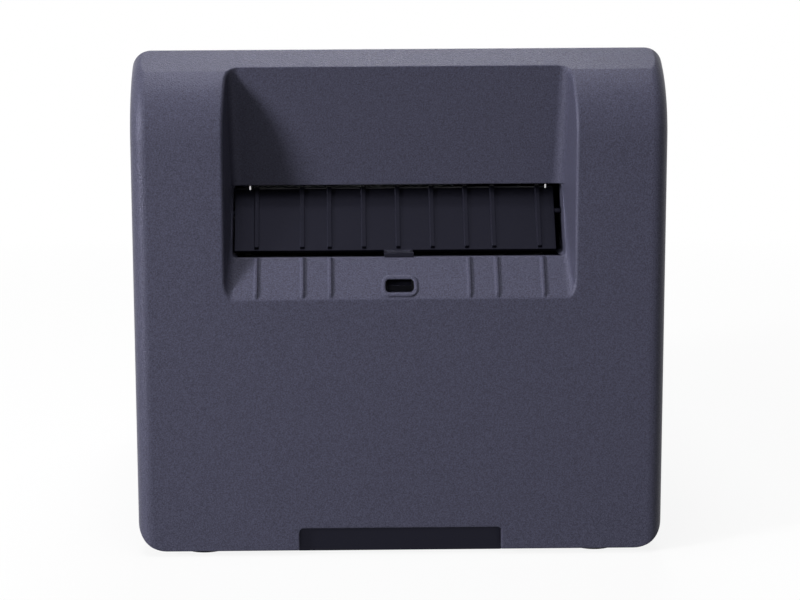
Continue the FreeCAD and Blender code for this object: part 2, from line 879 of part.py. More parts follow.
lever_y = platen_y - s.lever_back
lever_z = platen_z - s.lever_below
lever_x = (frame_outer + s.lever_stand_off, frame_outer + s.lever_stand_off + s.lever_sheet)
bracket_top = top - s.wall - s.bracket_drop
bracket_rear = platen_y - s.bracket_sheet * 3 + s.bracket_length


def bracket_places():
    return [
        (sign * (s.bracket_inner - s.boss_radius * 2), y)
        for sign in (1, -1)
        for y in (platen_y + s.bushing_radius, bracket_rear - s.boss_radius)
    ]


def lid():
    swing = rod("x", (hinge_y, hinge_z), swing_radius, wide)
    bottom = lid_seam + s.seam_gap
    forward = common(skin, box(wide, (front, hinge_y), (bottom, top)))
    skirts = common(skin, box(wide, (hinge_y, seam - s.hinge_gap), (bottom, hinge_z)))
    barrel = common(outer, rod("x", (hinge_y, hinge_z), s.barrel_radius, wide))
    lip_front = hinge_y - swing_radius
    lip = box(
        centred(s.exit_half_length + s.wall),
        (lip_front + s.hinge_gap, lip_front + s.hinge_gap + s.wall),
        (top - s.wall - s.lid_lip, top - s.wall / 2),
    )
    ribs = [
        box(centred(s.lid_rib / 2, sign * s.lid_rib_spacing), (bracket_rear + s.boss_radius, hinge_y),
            (top - s.wall - s.lid_rib_drop, top - s.wall / 2))
        for sign in (1, -1)
    ]
    bosses = [
        rod("z", (x, y), s.boss_radius, (bracket_top, top - s.wall / 2)) for x, y in bracket_places()
    ]
    pilots = [
        rod("z", (x, y), s.screw_radius, (bracket_top - s.overcut, bracket_top + s.screw_length))
        for x, y in bracket_places()
    ]
    ear_room = [
        box((span[0] - s.fit_gap, span[1] + s.fit_gap),
            (hinge_y - s.barrel_radius - s.overcut / 2, seam), (hinge_z - s.barrel_radius * 2, top + s.overcut))
        for span in both(s.ear_inner, s.ear_inner + s.ear_width)
    ]
    pin_span = both(s.ear_inner - s.hinge_pin_engage - s.fit_gap, s.ear_inner)
    bores = [rod("x", (hinge_y, hinge_z), s.hinge_pin_radius + s.running_gap, span) for span in pin_span]
    grip_front = hinge_y - swing_radius + s.grip_length / 2
    grips = [
        box(span, (grip_front, grip_front + s.grip_length), (bottom - s.overcut, bottom + s.grip_height))
        for span in both(half_width - s.grip_depth, half_width + s.overcut)
    ]
    shell = common(fuse(forward, skirts, barrel, lip, *ribs, *bosses), swing)
    return cut(shell, *ear_room, *bores, *grips, *pilots)


def hinge_pins():
    spans = both(s.ear_inner - s.hinge_pin_engage, s.ear_inner + s.ear_width)
    return group(*[rod("x", (hinge_y, hinge_z), s.hinge_pin_radius, span) for span in spans])


# Base tray, cable cover and feet.
leg_places = [
    (sign * s.leg_x, y)
    for sign in (1, -1)
    for y in (platen_y - s.frame_front - s.leg_radius, platen_y + s.frame_rear + s.leg_radius)
]
tray_front = front + s.wall + s.fit_gap
tray_rear = rear - s.wall - s.fit_gap
bay_front = tray_rear - s.bay_length
foot_places = [
    (sign * (half_width - s.foot_inset_x), y)
    for sign in (1, -1)
    for y in (front + s.foot_inset_y, rear - s.foot_inset_y)
]
board_z = floor + s.board_height
board_posts = [
    (sign * s.board_post_x, y)
    for sign in (1, -1)
    for y in (s.board_front + s.board_post_inset, s.board_rear - s.board_post_inset * 5)
]


def base_tray():
    plate = box(centred(tray_half_width), (tray_front, tray_rear), (floor, tray_top))
    rims = [
        box(span, (tray_front, tray_rear), (floor, tray_top + s.tray_rim))
        for span in both(tray_half_width - s.bay_wall, tray_half_width)
    ]
    bay_top = tray_top + s.bay_height
    bay_sides = [
        box(span, (bay_front, tray_rear), (floor, bay_top + s.bay_wall))
        for span in both(s.bay_half_width + s.cover_ledge, s.bay_half_width + s.cover_ledge + s.bay_wall)
    ]
    roof = box(
        centred(s.bay_half_width + s.cover_ledge + s.bay_wall),
        (bay_front, tray_rear),
        (bay_top, bay_top + s.bay_wall),
    )
    posts = [rod("z", place_at, s.board_post_radius, (floor, board_z)) for place_at in board_posts]
    seat = box(
        centred(s.bay_half_width + s.cover_ledge),
        (bay_front + s.cover_ledge, tray_rear + s.overcut),
        (floor - s.overcut, floor + s.cover_sheet + s.fit_gap / 3),
    )
    opening = box(
        centred(s.bay_half_width),
        (bay_front + s.cover_ledge * 2, tray_rear + s.overcut),
        (floor, tray_top + s.fit_gap),
    )
    foot_seats = [rod("z", at, s.foot_radius, (floor - s.overcut, floor + s.foot_seat)) for at in foot_places]
    pilots = [
        rod("z", at, s.screw_radius, (board_z - s.screw_length, board_z + s.overcut)) for at in board_posts
    ]
    screw_holes = [rod("z", at, s.screw_radius, (floor - s.overcut, tray_top + s.overcut)) for at in leg_places]
    head_seats = [
        rod("z", at, s.screw_head_radius + s.fit_gap, (floor - s.overcut, floor + s.screw_head)) for at in leg_places
    ]
    moulding = fuse(plate, roof, *rims, *bay_sides, *posts)
    return cut(moulding, seat, opening, *foot_seats, *pilots, *screw_holes, *head_seats)


def cable_cover():
    plate = box(
        centred(s.bay_half_width + s.cover_ledge - s.fit_gap),
        (bay_front + s.cover_ledge + s.fit_gap, tray_rear - s.fit_gap),
        (floor, floor + s.cover_sheet),
    )
    grip = rod("z", (0.0, bay_front + s.cover_ledge * 5), s.foot_radius, (floor - s.overcut, floor + s.cover_sheet / 2))
    return cut(plate, grip)


def rubber_feet():
    return group(*[rod("z", at, s.foot_radius, (0.0, floor + s.foot_seat)) for at in foot_places])


# Roll bay and chassis.
def roll_bay():
    shell_radius = s.roll_radius + s.bay_shell
    half_length = s.roll_half_length + s.bay_shell
    bucket = common(
        rod("x", (roll_y, roll_z), shell_radius, centred(half_length)),
        box(centred(half_length), centred(shell_radius, roll_y), (floor, roll_z + s.bay_rim_rise)),
    )
    platform = box(
        centred(s.platform_half_width),
        (platen_y - s.frame_front - s.leg_radius * 2, platen_y + s.frame_rear + s.leg_radius * 2),
        (platform_z - s.platform_sheet, platform_z),
    )
    legs = [rod("z", at, s.leg_radius, (tray_top, platform_z - s.platform_sheet / 2)) for at in leg_places]
    rear_legs = [
        rod("z", (sign * s.rear_leg_x, roll_y + s.rear_leg_back), s.leg_radius / 2, (tray_top, roll_z)) for sign in (1, -1)
    ]
    hollow = fuse(
        rod("x", (roll_y, roll_z), s.roll_radius, centred(s.roll_half_length)),
        box(centred(s.roll_half_length), centred(s.roll_radius, roll_y), (roll_z, top)),
    )
    pilots = [
        rod("z", at, s.screw_radius, (platform_z - s.screw_length, platform_z + s.overcut)) for at in frame_screw_places()
    ]
    leg_pilots = [
        rod("z", at, s.screw_radius, (tray_top - s.overcut, tray_top + s.screw_length)) for at in leg_places
    ]
    return cut(fuse(bucket, platform, *legs, *rear_legs), hollow, *pilots, *leg_pilots)


def frame_screw_places():
    return [
        (sign * (s.frame_inner - s.boss_radius * 2), y)
        for sign in (1, -1)
        for y in (platen_y - s.frame_front + s.boss_radius * 2, platen_y + s.frame_rear - s.boss_radius * 2)
    ]


# Print frame, with the platen notches open at the top.
reduction_z = platen_z - s.gear_module * (s.platen_teeth + s.small_teeth) / 2 - s.mesh_play
motor_z = reduction_z - s.gear_module * (s.big_teeth + s.pinion_teeth) / 2 - s.mesh_play
gear_near = -(frame_outer + s.gear_stand_off)
near_span = (gear_near - s.gear_width, gear_near)
far_span = (near_span[0] - s.gear_spacing - s.gear_width, near_span[0] - s.gear_spacing)
tilt = math.radians(SIZES["head_tilt"])
tilt_cos = math.cos(tilt)
tilt_sin = math.sin(tilt)
pivot_y = platen_y - s.pivot_back * tilt_cos + s.pivot_below * tilt_sin
pivot_z = platen_z - s.pivot_back * tilt_sin - s.pivot_below * tilt_cos


def print_frame():
    y_front = platen_y - s.frame_front
    y_rear = platen_y + s.frame_rear
    z_top = platen_z + s.frame_rise
    shoulder = s.frame_front / 2
    cheek = [
        (y_front, platform_z),
        (y_rear, platform_z),
        (y_rear, platen_z - s.frame_rear),
        (platen_y + s.bushing_radius * 2, z_top),
        (platen_y - s.bushing_radius * 2, z_top),
        (y_front, z_top - shoulder),
    ]
    cheeks = [prism("yz", cheek, span) for span in both(s.frame_inner, frame_outer)]
    web = box(centred(frame_outer), (y_front, y_rear), (platform_z, platform_z + s.frame_sheet))
    back = box(centred(frame_outer), (y_front, y_front + s.frame_sheet), (platform_z, z_top - shoulder))
    room = s.bushing_radius + s.notch_clearance
    across = centred(frame_outer + s.overcut)
    tools = [
        rod("x", (platen_y, platen_z), room, across),
        box(across, centred(room, platen_y), (platen_z, z_top + s.overcut)),
        rod("x", (platen_y, motor_z), s.motor_boss_radius + s.fit_gap, (-frame_outer - s.overcut, 0.0)),
        rod("x", (platen_y, reduction_z), s.stud_radius, (-frame_outer - s.overcut, 0.0)),
        rod("x", (lever_y, lever_z), s.lever_stud_radius, (0.0, frame_outer + s.overcut)),
        rod("x", (pivot_y, pivot_z), s.pivot_radius, across),
    ]
    tools += [
        rod("z", at, s.screw_radius, (platform_z - s.overcut, platform_z + s.overcut)) for at in frame_screw_places()
    ]
    return cut(fuse(*cheeks, web, back), *tools)


def paper_chute():
    """Curved lead from the roll bay to the nip, hung between the frame's cheeks."""
    high = platen_z - s.platen_radius - s.chute_sheet * 2
    far = platen_y + s.frame_rear + s.chute_sheet * 2
    outline = [
        (platen_y - s.chute_sheet, high),
        (platen_y + s.frame_rear / 2, high),
        (far, high - s.frame_rear / 2),
        (far, high - s.frame_rear / 2 - s.chute_sheet),
        (platen_y + s.frame_rear / 2, high - s.chute_sheet),
        (platen_y - s.chute_sheet, high - s.chute_sheet),
    ]
    pocket = sensor_block(s.fit_gap)
    return cut(prism("yz", outline, centred(s.frame_inner)), pocket)


def sensor_block(gap):
    high = platen_z - s.platen_radius - s.chute_sheet * 2
    return box(
        centred(s.chute_sheet * 1.6 + gap, s.sensor_x),
        (platen_y + s.chute_sheet - gap, platen_y + s.chute_sheet * 2.4 + gap),
        (high - s.chute_sheet * 1.6, high),
    )


def tilted(obj):
    """Turn a piece of the head, drawn about the platen's axis, to the head's lean."""
    obj.Placement = Placement(Vector(), Rotation(Vector(1, 0, 0), SIZES["head_tilt"]))
    obj.setExpression(".Placement.Rotation.Angle", s.head_tilt.text)
    return place(obj, 0.0, platen_y, platen_z)


head_face = -(s.platen_radius + s.fit_gap + s.heater_radius)


def thermal_head():
    board = box(centred(s.head_half_length), (head_face - s.head_board, head_face), (-s.head_below, s.head_above))
    heater = rod("x", (head_face, 0.0), s.heater_radius, centred(s.platen_half_length))
    return tilted(fuse(board, heater))


def head_bracket():
    """Aluminium head carrier with cooling fins and two pivot lugs."""
    face = head_face - s.head_board
    back = face - s.sink_depth
    plate = box(centred(s.sink_half_length), (back, face), (-s.sink_below, s.sink_above))
    grooves = [
        box(centred(s.sink_half_length + s.overcut), (back - s.overcut, back + s.sink_fin),
            (level * s.sink_fin * 2, level * s.sink_fin * 2 + s.sink_fin))
        for level in (-3, -2, -1, 0, 1)
    ]
    lug_spans = both(s.sink_half_length - s.lug_width, s.sink_half_length)
    lugs = [rod("x", (-s.pivot_back, -s.pivot_below), s.lug_radius, span) for span in lug_spans]
    webs = [
        box(span, centred(s.lug_radius / 2, -s.pivot_back), (-s.pivot_below, -s.sink_below + s.sink_fin))
        for span in lug_spans
    ]
    bore = rod("x", (-s.pivot_back, -s.pivot_below), s.pivot_radius + s.running_gap, centred(s.sink_half_length + s.overcut))
    return tilted(cut(fuse(cut(plate, *grooves), *lugs, *webs), bore))


def head_pivot_pin():
    return rod("x", (pivot_y, pivot_z), s.pivot_radius, centred(frame_outer))


def head_springs():
    """Two leaf springs from the frame's front sheet to the back of the head carrier."""
    base = platen_y - s.frame_front + s.frame_sheet
    reach = platen_y + (head_face - s.head_board - s.sink_depth - s.spring_gap) * tilt_cos
    knee = platen_z - s.frame_front / 2
    low = knee - s.spring_width
    tip = platen_z - s.sink_fin / 2
    outline = [
        (base, low),
        (base + s.spring_sheet, low),
        (base + s.spring_sheet, knee),
        (reach, tip),
        (reach - s.spring_sheet, tip + s.spring_sheet),
        (base, knee + s.spring_sheet),
    ]
    return group(*[
        prism("yz", outline, centred(s.spring_width / 2, sign * s.spring_x)) for sign in (1, -1)
    ])


# Platen and its bracket on the lid.
def platen_bracket():
    plate_z = (bracket_top - s.bracket_sheet, bracket_top)
    y_front = platen_y - s.bracket_sheet * 3
    outer_edge = s.bracket_inner + s.bracket_sheet
    pieces = [box(centred(outer_edge), (y_front, bracket_rear), plate_z)]
    for span in both(s.bracket_inner, outer_edge):
        pieces.append(box(span, centred(s.arm_half_width, platen_y), (platen_z, bracket_top)))
        pieces.append(rod("x", (platen_y, platen_z), s.arm_half_width, span))
    holes = [
        rod("z", at, s.screw_radius, (plate_z[0] - s.overcut, bracket_top + s.overcut)) for at in bracket_places()
    ]
    bore = rod("x", (platen_y, platen_z), s.bushing_radius, centred(outer_edge + s.overcut))
    return cut(fuse(*pieces), bore, *holes)


def platen_bushings():
    spans = both(s.bracket_inner, frame_outer + s.fit_gap)
    return group(*[
        tube("x", (platen_y, platen_z), s.bushing_radius, s.platen_shaft_radius + s.running_gap, span) for span in spans
    ])


def platen_shaft():
    return rod("x", (platen_y, platen_z), s.platen_shaft_radius, (near_span[0] - s.fit_gap, lever_x[1] + s.fit_gap))


def platen_rubber():
    return tube("x", (platen_y, platen_z), s.platen_radius, s.platen_shaft_radius, centred(s.platen_half_length))


# Gear train, in mesh at rest: each pair has a tooth facing a gap on the line of centres.
def tooth_outline(teeth, first_tooth):
    """Corners of a spur gear with involute flanks, one tooth centred on the angle first_tooth."""
    module = SIZES["gear_module"]
    pitch = module * teeth / 2
    base = pitch * math.cos(math.radians(20.0))
    root = pitch - 1.25 * module
    tip = pitch + 0.95 * module

    def spread(radius):
        pressure = math.acos(min(1.0, base / radius))
        return math.tan(pressure) - pressure

    radii = [root, max(base, root + 0.2 * module), (pitch + base) / 2 + 0.3 * module, tip]
    half = [math.pi / (2 * teeth) + spread(pitch) - spread(max(radius, base)) for radius in radii]
    flank = list(zip(radii, half))
    corners = []
    for tooth in range(teeth):
        middle = first_tooth + 2 * math.pi * tooth / teeth
        for radius, angle in flank:
            corners.append(Vector(0, radius * math.cos(middle - angle), radius * math.sin(middle - angle)))
        for radius, angle in reversed(flank):
            corners.append(Vector(0, radius * math.cos(middle + angle), radius * math.sin(middle + angle)))
    return corners + corners[:1]


def wheel(teeth, first_tooth, bore, width):
    blank = Part.Face(Part.makePolygon(tooth_outline(teeth, first_tooth))).extrude(Vector(width, 0, 0))
    return blank.cut(Part.makeCylinder(bore, width, Vector(), Vector(1, 0, 0)))


def gear_part(shape, x, z):
    obj = doc.addObject("Part::Feature", "Gear")
    obj.Shape = shape
    return place(obj, x, platen_y, z)


DOWN = -math.pi / 2
UP = math.pi / 2


def half_pitch(teeth):
    return math.pi / teeth


def platen_gear():
    shape = wheel(SIZES["platen_teeth"], DOWN, SIZES["platen_shaft_radius"], SIZES["gear_width"])
    return gear_part(shape, near_span[0], platen_z)


def reduction_gear():
    bore = SIZES["stud_radius"] + SIZES["running_gap"]
    width = SIZES["gear_width"]
    spacing = SIZES["gear_spacing"]
    small = SIZES["small_teeth"]
    near = wheel(small, UP + half_pitch(small), bore, width + spacing)
    near.translate(Vector(width, 0, 0))
    far = wheel(SIZES["big_teeth"], DOWN, bore, width)
    return gear_part(far.fuse(near), far_span[0], reduction_z)


def motor_pinion():
    teeth = SIZES["pinion_teeth"]
    shape = wheel(teeth, UP + half_pitch(teeth), SIZES["motor_shaft_radius"], SIZES["gear_width"])
    return gear_part(shape, far_span[0], motor_z)


def gear_stud():
    head = (far_span[0] - s.fit_gap - s.bracket_sheet, far_span[0] - s.fit_gap)
    stem = rod("x", (platen_y, reduction_z), s.stud_radius, (head[0], -s.frame_inner))
    collar_span = (-frame_outer - s.gear_stand_off + s.fit_gap, -frame_outer)
    return fuse(
        stem,
        rod("x", (platen_y, reduction_z), s.stud_radius * 1.6, head),
        rod("x", (platen_y, reduction_z), s.stud_radius * 1.8, collar_span),
    )


motor_span = (-s.frame_inner, -s.frame_inner + s.motor_length)


def drive_motor():
    can = rod("x", (platen_y, motor_z), s.motor_radius, motor_span)
    boss = rod("x", (platen_y, motor_z), s.motor_boss_radius, (-frame_outer, motor_span[0]))
    cap = rod("x", (platen_y, motor_z), s.motor_boss_radius, (motor_span[1], motor_span[1] + s.motor_ear / 2))
    flange_y = centred(s.motor_radius + s.motor_ear, platen_y)
    flange = box((motor_span[0], motor_span[0] + s.bracket_sheet), flange_y, centred(s.motor_ear, motor_z))
    holes = [
        rod("x", (platen_y + sign * (s.motor_radius + s.motor_ear / 2), motor_z), s.screw_radius,
            (motor_span[0] - s.overcut, motor_span[0] + s.overcut))
        for sign in (1, -1)
    ]
    shaft_room = rod(
        "x", (platen_y, motor_z), s.motor_shaft_radius + s.running_gap,
        (-frame_outer - s.overcut, -s.frame_inner + s.motor_shaft_engage + s.fit_gap),
    )
    return cut(fuse(can, boss, cap, flange), shaft_room, *holes)


def motor_shaft():
    return rod(
        "x", (platen_y, motor_z), s.motor_shaft_radius,
        (far_span[0] - s.fit_gap, -s.frame_inner + s.motor_shaft_engage),
    )


# Lid release lever: hub on a stud, hook beside the platen shaft, thumb tab in the front cover.
def release_lever():
    hook_z = platen_z + s.platen_shaft_radius
    arm_half = s.lever_arm / 2
    hook_tip = platen_y - s.platen_shaft_radius - s.notch_clearance
    outline = [
        (lever_y - arm_half, lever_z),
        (lever_y + arm_half, lever_z),
        (lever_y + arm_half, platen_z - s.lever_arm),
        (hook_tip - s.lever_sheet, platen_z - s.platen_shaft_radius),
        (hook_tip, hook_z),
        (hook_tip - s.hook_reach, hook_z + s.hook_reach),
        (lever_y + arm_half, hook_z + s.lever_sheet),
        (lever_y + arm_half, top - s.wall - s.overcut),
        (lever_y - arm_half, top - s.wall - s.overcut),
    ]
    blade = prism("yz", outline, lever_x)
    tab = prism(
        "xy",
        rectangle((lever_x[0], lever_x[0] + s.lever_tab_width), centred(s.lever_tab_length / 2, lever_y)),
        (top - s.wall - s.overcut - s.lever_sheet, top - s.button_recess),
        rounds={1: s.lever_sheet, 2: s.lever_sheet},
    )
    hub = rod("x", (lever_y, lever_z), s.lever_hub, lever_x)
    bore = rod("x", (lever_y, lever_z), s.lever_stud_radius + s.running_gap, (lever_x[0] - s.overcut, lever_x[1] + s.overcut))
    return cut(fuse(blade, tab, hub), bore)


def lever_stud():
    head = (lever_x[1] + s.fit_gap, lever_x[1] + s.fit_gap + s.bracket_sheet)
    collar = (frame_outer, lever_x[0] - s.fit_gap)
    return fuse(
        rod("x", (lever_y, lever_z), s.lever_stud_radius, (s.frame_inner, head[1])),
        rod("x", (lever_y, lever_z), s.lever_stud_radius * 1.6, head),
        rod("x", (lever_y, lever_z), s.lever_stud_radius * 1.6, collar),
    )


# Tear bar with a toothed edge on the front side of the paper exit.
def tear_bar():
    edge_y = hinge_y - swing_radius - s.exit_width
    count = SIZES["tear_teeth"]
    half = s.exit_half_length - s.wall
    pitch = half * 2 / count
    low = top - s.wall - s.tear_height
    crown = top - s.wall - s.tear_tooth
    outline = [(-half, low), (half, low)]
    for index in range(count):
        right = half - pitch * index
        outline.append((right, crown))
        outline.append((right - pitch / 2, crown + s.tear_tooth))
    outline.append((-half, crown))
    return prism("xz", outline, (edge_y, edge_y + s.tear_sheet))


# Front controls.
def feed_button():
    cap_z = centred(s.button_half_height, button_z)
    cap = prism(
        "xz",
        rectangle(centred(s.button_half_width, button_x), cap_z),
        (front + s.button_recess, front + s.wall + s.fit_gap),
        rounds=dict.fromkeys(range(4), s.button_corner),
    )
    flange = box(
        centred(s.button_half_width + s.button_flange, button_x),
        (front + s.wall + s.fit_gap, front + s.wall + s.fit_gap + s.button_flange_sheet),
        centred(s.button_half_height + s.button_flange, button_z),
    )
    return fuse(cap, flange)


panel_y = (front + s.wall + s.panel_gap, front + s.wall + s.panel_gap + s.panel_board)


def control_board():
    """Board behind the front cover, with the feed switch and one lamp chip behind each lens."""
    board = box((panel_x[0], panel_x[1]), panel_y, centred(s.panel_half_height, button_z))
    plunger_tip = front + s.wall + s.fit_gap + s.button_flange_sheet + s.button_travel + s.fit_gap
    plunger = rod("y", (button_x, button_z), s.boss_radius / 2, (plunger_tip, panel_y[0]))
    body = box(
        centred(s.boss_radius, button_x),
        (plunger_tip + s.fit_gap, panel_y[0]),
        centred(s.boss_radius, button_z),
    )
    chips = [
        box(centred(s.lamp_radius / 2, lamp_x(index)),
            (panel_y[0] - s.head_board, panel_y[0]), centred(s.lamp_radius / 2, button_z))
        for index in range(SIZES["lamp_count"])
    ]
    return fuse(board, plunger, body, *chips)


def lamp_lenses():
    lenses = []
    for index in range(SIZES["lamp_count"]):
        x = lamp_x(index)
        stem = rod("y", (x, button_z), s.lamp_radius, (front + s.button_recess, front + s.wall))
        collar = rod("y", (x, button_z), s.lamp_radius * 1.5, (front + s.wall, panel_y[0] - s.head_board - s.fit_gap))
        lenses.append(fuse(stem, collar))
    return group(*lenses)


rocker_y = front + s.rocker_pivot_depth


def power_switch():
    body = box(
        centred(s.switch_half_width, switch_x),
        (switch_y, switch_y + s.switch_length),
        centred(s.switch_half_height, switch_z),
    )
    well = box(
        centred(s.switch_half_width - s.switch_wall, switch_x),
        (switch_y - s.overcut, rocker_y + s.rocker_depth + s.switch_wall),
        centred(s.switch_half_height - s.switch_wall, switch_z),
    )
    axle = rod("x", (rocker_y, switch_z), s.rocker_axle_radius + s.running_gap,
               centred(s.switch_half_width - s.fit_gap, switch_x))
    blade_z = (switch_z - s.switch_wall * 3, switch_z + s.switch_wall * 2)
    terminals = [
        box(centred(s.switch_wall * 2, switch_x),
            (switch_y + s.switch_length, switch_y + s.switch_length + s.motor_ear), (level, level + s.spring_sheet))
        for level in blade_z
    ]
    flange = box(
        centred(s.switch_half_width + s.button_flange, switch_x),
        (front + s.wall, front + s.wall + s.button_flange),
        centred(s.switch_half_height + s.button_flange, switch_z),
    )
    return cut(fuse(body, flange, *terminals), well, axle)


def power_rocker():
    """Rocker with two faces that meet over the pivot, at rest with its lower half pressed in."""
    lean = math.tan(math.radians(SIZES["rocker_half_angle"]))
    reach = s.switch_half_height - s.switch_wall - s.fit_gap * 2
    face = rocker_y - s.rocker_pivot_depth + s.button_recess
    low_face = face + reach * lean * 2
    outline = [
        (low_face, switch_z - reach),
        (rocker_y + s.rocker_depth / 2, switch_z - reach + s.fit_gap),
        (rocker_y + s.rocker_depth - s.switch_wall, switch_z),
        (rocker_y + s.rocker_depth / 2, switch_z + reach - s.fit_gap * 2),
        (face + s.fit_gap, switch_z + reach - s.fit_gap * 2),
        (face + s.fit_gap, switch_z),
    ]
    key = prism("yz", outline, centred(s.switch_half_width - s.switch_wall - s.fit_gap, switch_x))
    axle = rod("x", (rocker_y, switch_z), s.rocker_axle_radius,
               centred(s.switch_half_width - s.fit_gap * 2, switch_x))
    return fuse(key, axle)


# Main board, interface plate and sockets.
board_top = board_z + s.board_sheet
plate_y = (bay_front - s.plate_sheet, bay_front)


def socket_spans():
    """The X span of each socket, in a row centred on the board."""
    total = sum(width for width, _, _ in SOCKETS.values()) + SOCKET_SPACING * (len(SOCKETS) - 1)
    right = total / 2
    spans = {}
    for label, (width, _, _) in SOCKETS.items():
        spans[label] = (size(right - width), size(right))
        right -= width + SOCKET_SPACING
    return spans


def main_board():
    plate = box(centred(s.board_half_width), (s.board_front, plate_y[0]), (board_z, board_top))
    holes = [rod("z", at, s.screw_radius, (board_z - s.overcut, board_top + s.overcut)) for at in board_posts]
    return cut(plate, *holes)


def board_components():
    """Capacitors, the processor, the motor driver and the ribbon header."""
    cans = [
        rod("z", (x, s.board_rear - s.motor_radius * 2 - s.motor_ear), s.motor_ear, (board_top, board_top + s.motor_ear * 2))
        for x in (-s.motor_radius, size(0.0))
    ]
    processor = box(centred(s.boss_radius * 2.5), centred(s.boss_radius * 2.5, s.board_front / 2), (board_top, board_top + s.wall / 2))
    driver_y = (s.board_front + s.motor_ear, s.board_front + s.motor_ear * 3)
    driver = box(centred(s.motor_ear, s.motor_radius), driver_y, (board_top, board_top + s.wall))
    header = box(centred(s.motor_radius), (s.board_front, s.board_front + s.motor_ear), (board_top, board_top + s.motor_ear))
    return group(*cans, processor, driver, header)


def interface_plate():
    plate = box(centred(s.plate_half_width), plate_y, (tray_top, tray_top + s.plate_height))
    openings = []
    for label, span in socket_spans().items():
        height = SOCKETS[label][1]
        openings.append(
            box((span[0] - s.plate_gap, span[1] + s.plate_gap), (plate_y[0] - s.overcut, plate_y[1] + s.overcut),
                (board_top - s.plate_gap, board_top + height + s.plate_gap))
        )
    return cut(plate, *openings)


def socket_shell(label):
    """A socket's housing on the board, standing a little way out of the interface plate."""
    _, height, length = SOCKETS[label]
    span = socket_spans()[label]
    mouth = plate_y[1] + s.socket_stand_out
    return box(span, (mouth - length, mouth), (board_top, board_top + height)), span, mouth, height, length


def modular_socket(label):
    """Square socket with a latch groove along its floor and a row of contact bars."""
    shell, span, mouth, height, length = socket_shell(label)
    inside = (span[0] + s.socket_wall * 1.7, span[1] - s.socket_wall * 1.7)
    middle = (span[0] + span[1]) / 2
    depth = mouth - length * 0.7
    cavity = box(inside, (depth, mouth + s.overcut), (board_top + s.socket_wall * 2, board_top + height - s.socket_wall * 1.5))
    groove = box(centred(s.socket_wall * 2, middle), (depth, mouth + s.overcut),
                 (board_top + s.socket_wall, board_top + s.socket_wall * 2 + s.fit_gap))
    return cut(shell, cavity, groove)


def usb_socket():
    """Square data socket with two bevelled top corners and a tongue in the middle."""
    shell, span, mouth, height, length = socket_shell("usb_socket")
    low = board_top + s.socket_wall
    high = board_top + height - s.socket_wall
    left = span[0] + s.socket_wall
    right = span[1] - s.socket_wall
    bevel = s.socket_wall * 1.5
    outline = [(left, low), (right, low), (right, high - bevel), (right - bevel, high), (left + bevel, high), (left, high - bevel)]
    cavity = prism("xz", outline, (mouth - length * 0.6, mouth + s.overcut))
    middle = (span[0] + span[1]) / 2
    tongue = box(centred(s.socket_wall * 2.2, middle), (mouth - length * 0.7, mouth - s.socket_wall),
                 centred(s.socket_wall * 1.2, (low + high) / 2))
    return fuse(cut(shell, cavity), tongue)


def power_inlet():
    """Round low-voltage inlet with a centre contact."""
    shell, span, mouth, height, length = socket_shell("power_inlet")
    middle = ((span[0] + span[1]) / 2, board_top + height / 2)
    bore = rod("y", middle, s.socket_wall * 2.7, (mouth - length * 0.75, mouth + s.overcut))
    contact = rod("y", middle, s.socket_wall * 0.9, (mouth - length * 0.8, mouth - s.socket_wall))
    return fuse(cut(shell, bore), contact)


PIECES = {
    "rear_cover": rear_cover,
    "rear_guide": rear_guide,
    "lower_case": lower_case,
    "front_cover": front_cover,
    "lid": lid,
    "hinge_pins": hinge_pins,
    "base_tray": base_tray,
    "cable_cover": cable_cover,
    "rubber_feet": rubber_feet,
    "roll_bay": roll_bay,
    "print_frame": print_frame,
    "paper_chute": paper_chute,
    "paper_sensor": lambda: sensor_block(size(0.0)),
    "thermal_head": thermal_head,
    "head_bracket": head_bracket,
    "head_pivot_pin": head_pivot_pin,
    "head_springs": head_springs,
    "platen_bracket": platen_bracket,
    "platen_bushings": platen_bushings,
    "platen_shaft": platen_shaft,
    "platen_rubber": platen_rubber,
    "platen_gear": platen_gear,
    "reduction_gear": reduction_gear,
    "motor_pinion": motor_pinion,
    "gear_stud": gear_stud,
    "drive_motor": drive_motor,
    "motor_shaft": motor_shaft,
    "release_lever": release_lever,
    "lever_stud": lever_stud,
    "tear_bar": tear_bar,
    "feed_button": feed_button,
    "control_board": control_board,
    "lamp_lenses": lamp_lenses,
    "power_switch": power_switch,
    "power_rocker": power_rocker,
    "main_board": main_board,
    "board_components": board_components,
    "interface_plate": interface_plate,
    "power_inlet": power_inlet,
    "usb_socket": usb_socket,
    "ethernet_socket": lambda: modular_socket("ethernet_socket"),
    "drawer_socket": lambda: modular_socket("drawer_socket"),
    "base_screws": lambda: group(*[screw(x, y, floor + s.screw_head, False) for x, y in leg_places]),
    "frame_screws": lambda: group(*[screw(x, y, platform_z + s.frame_sheet, True) for x, y in frame_screw_places()]),
    "board_screws": lambda: group(*[screw(x, y, board_top, True) for x, y in board_posts]),
    "bracket_screws": lambda: group(*[screw(x, y, bracket_top - s.bracket_sheet, False) for x, y in bracket_places()]),
}

for label, build in PIECES.items():
    keep(build(), label)
doc.recompute()

os.makedirs("parts", exist_ok=True)
for obj in doc.Objects:
    if "Invalid" in obj.State or "Error" in obj.State:
        raise RuntimeError(f"{obj.Name} did not build: {obj.State}")
for obj in PARTS:
    if obj.Shape.isNull() or not obj.Shape.isValid():
        raise RuntimeError(f"{obj.Label} has no valid shape")
    obj.Shape.exportStep(f"parts/{obj.Label}.step")
    print(obj.Label, len(obj.Shape.Solids), round(obj.Shape.Volume, 1))
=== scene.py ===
import json
import math

import bmesh
import bpy
from mathutils import Matrix, Vector


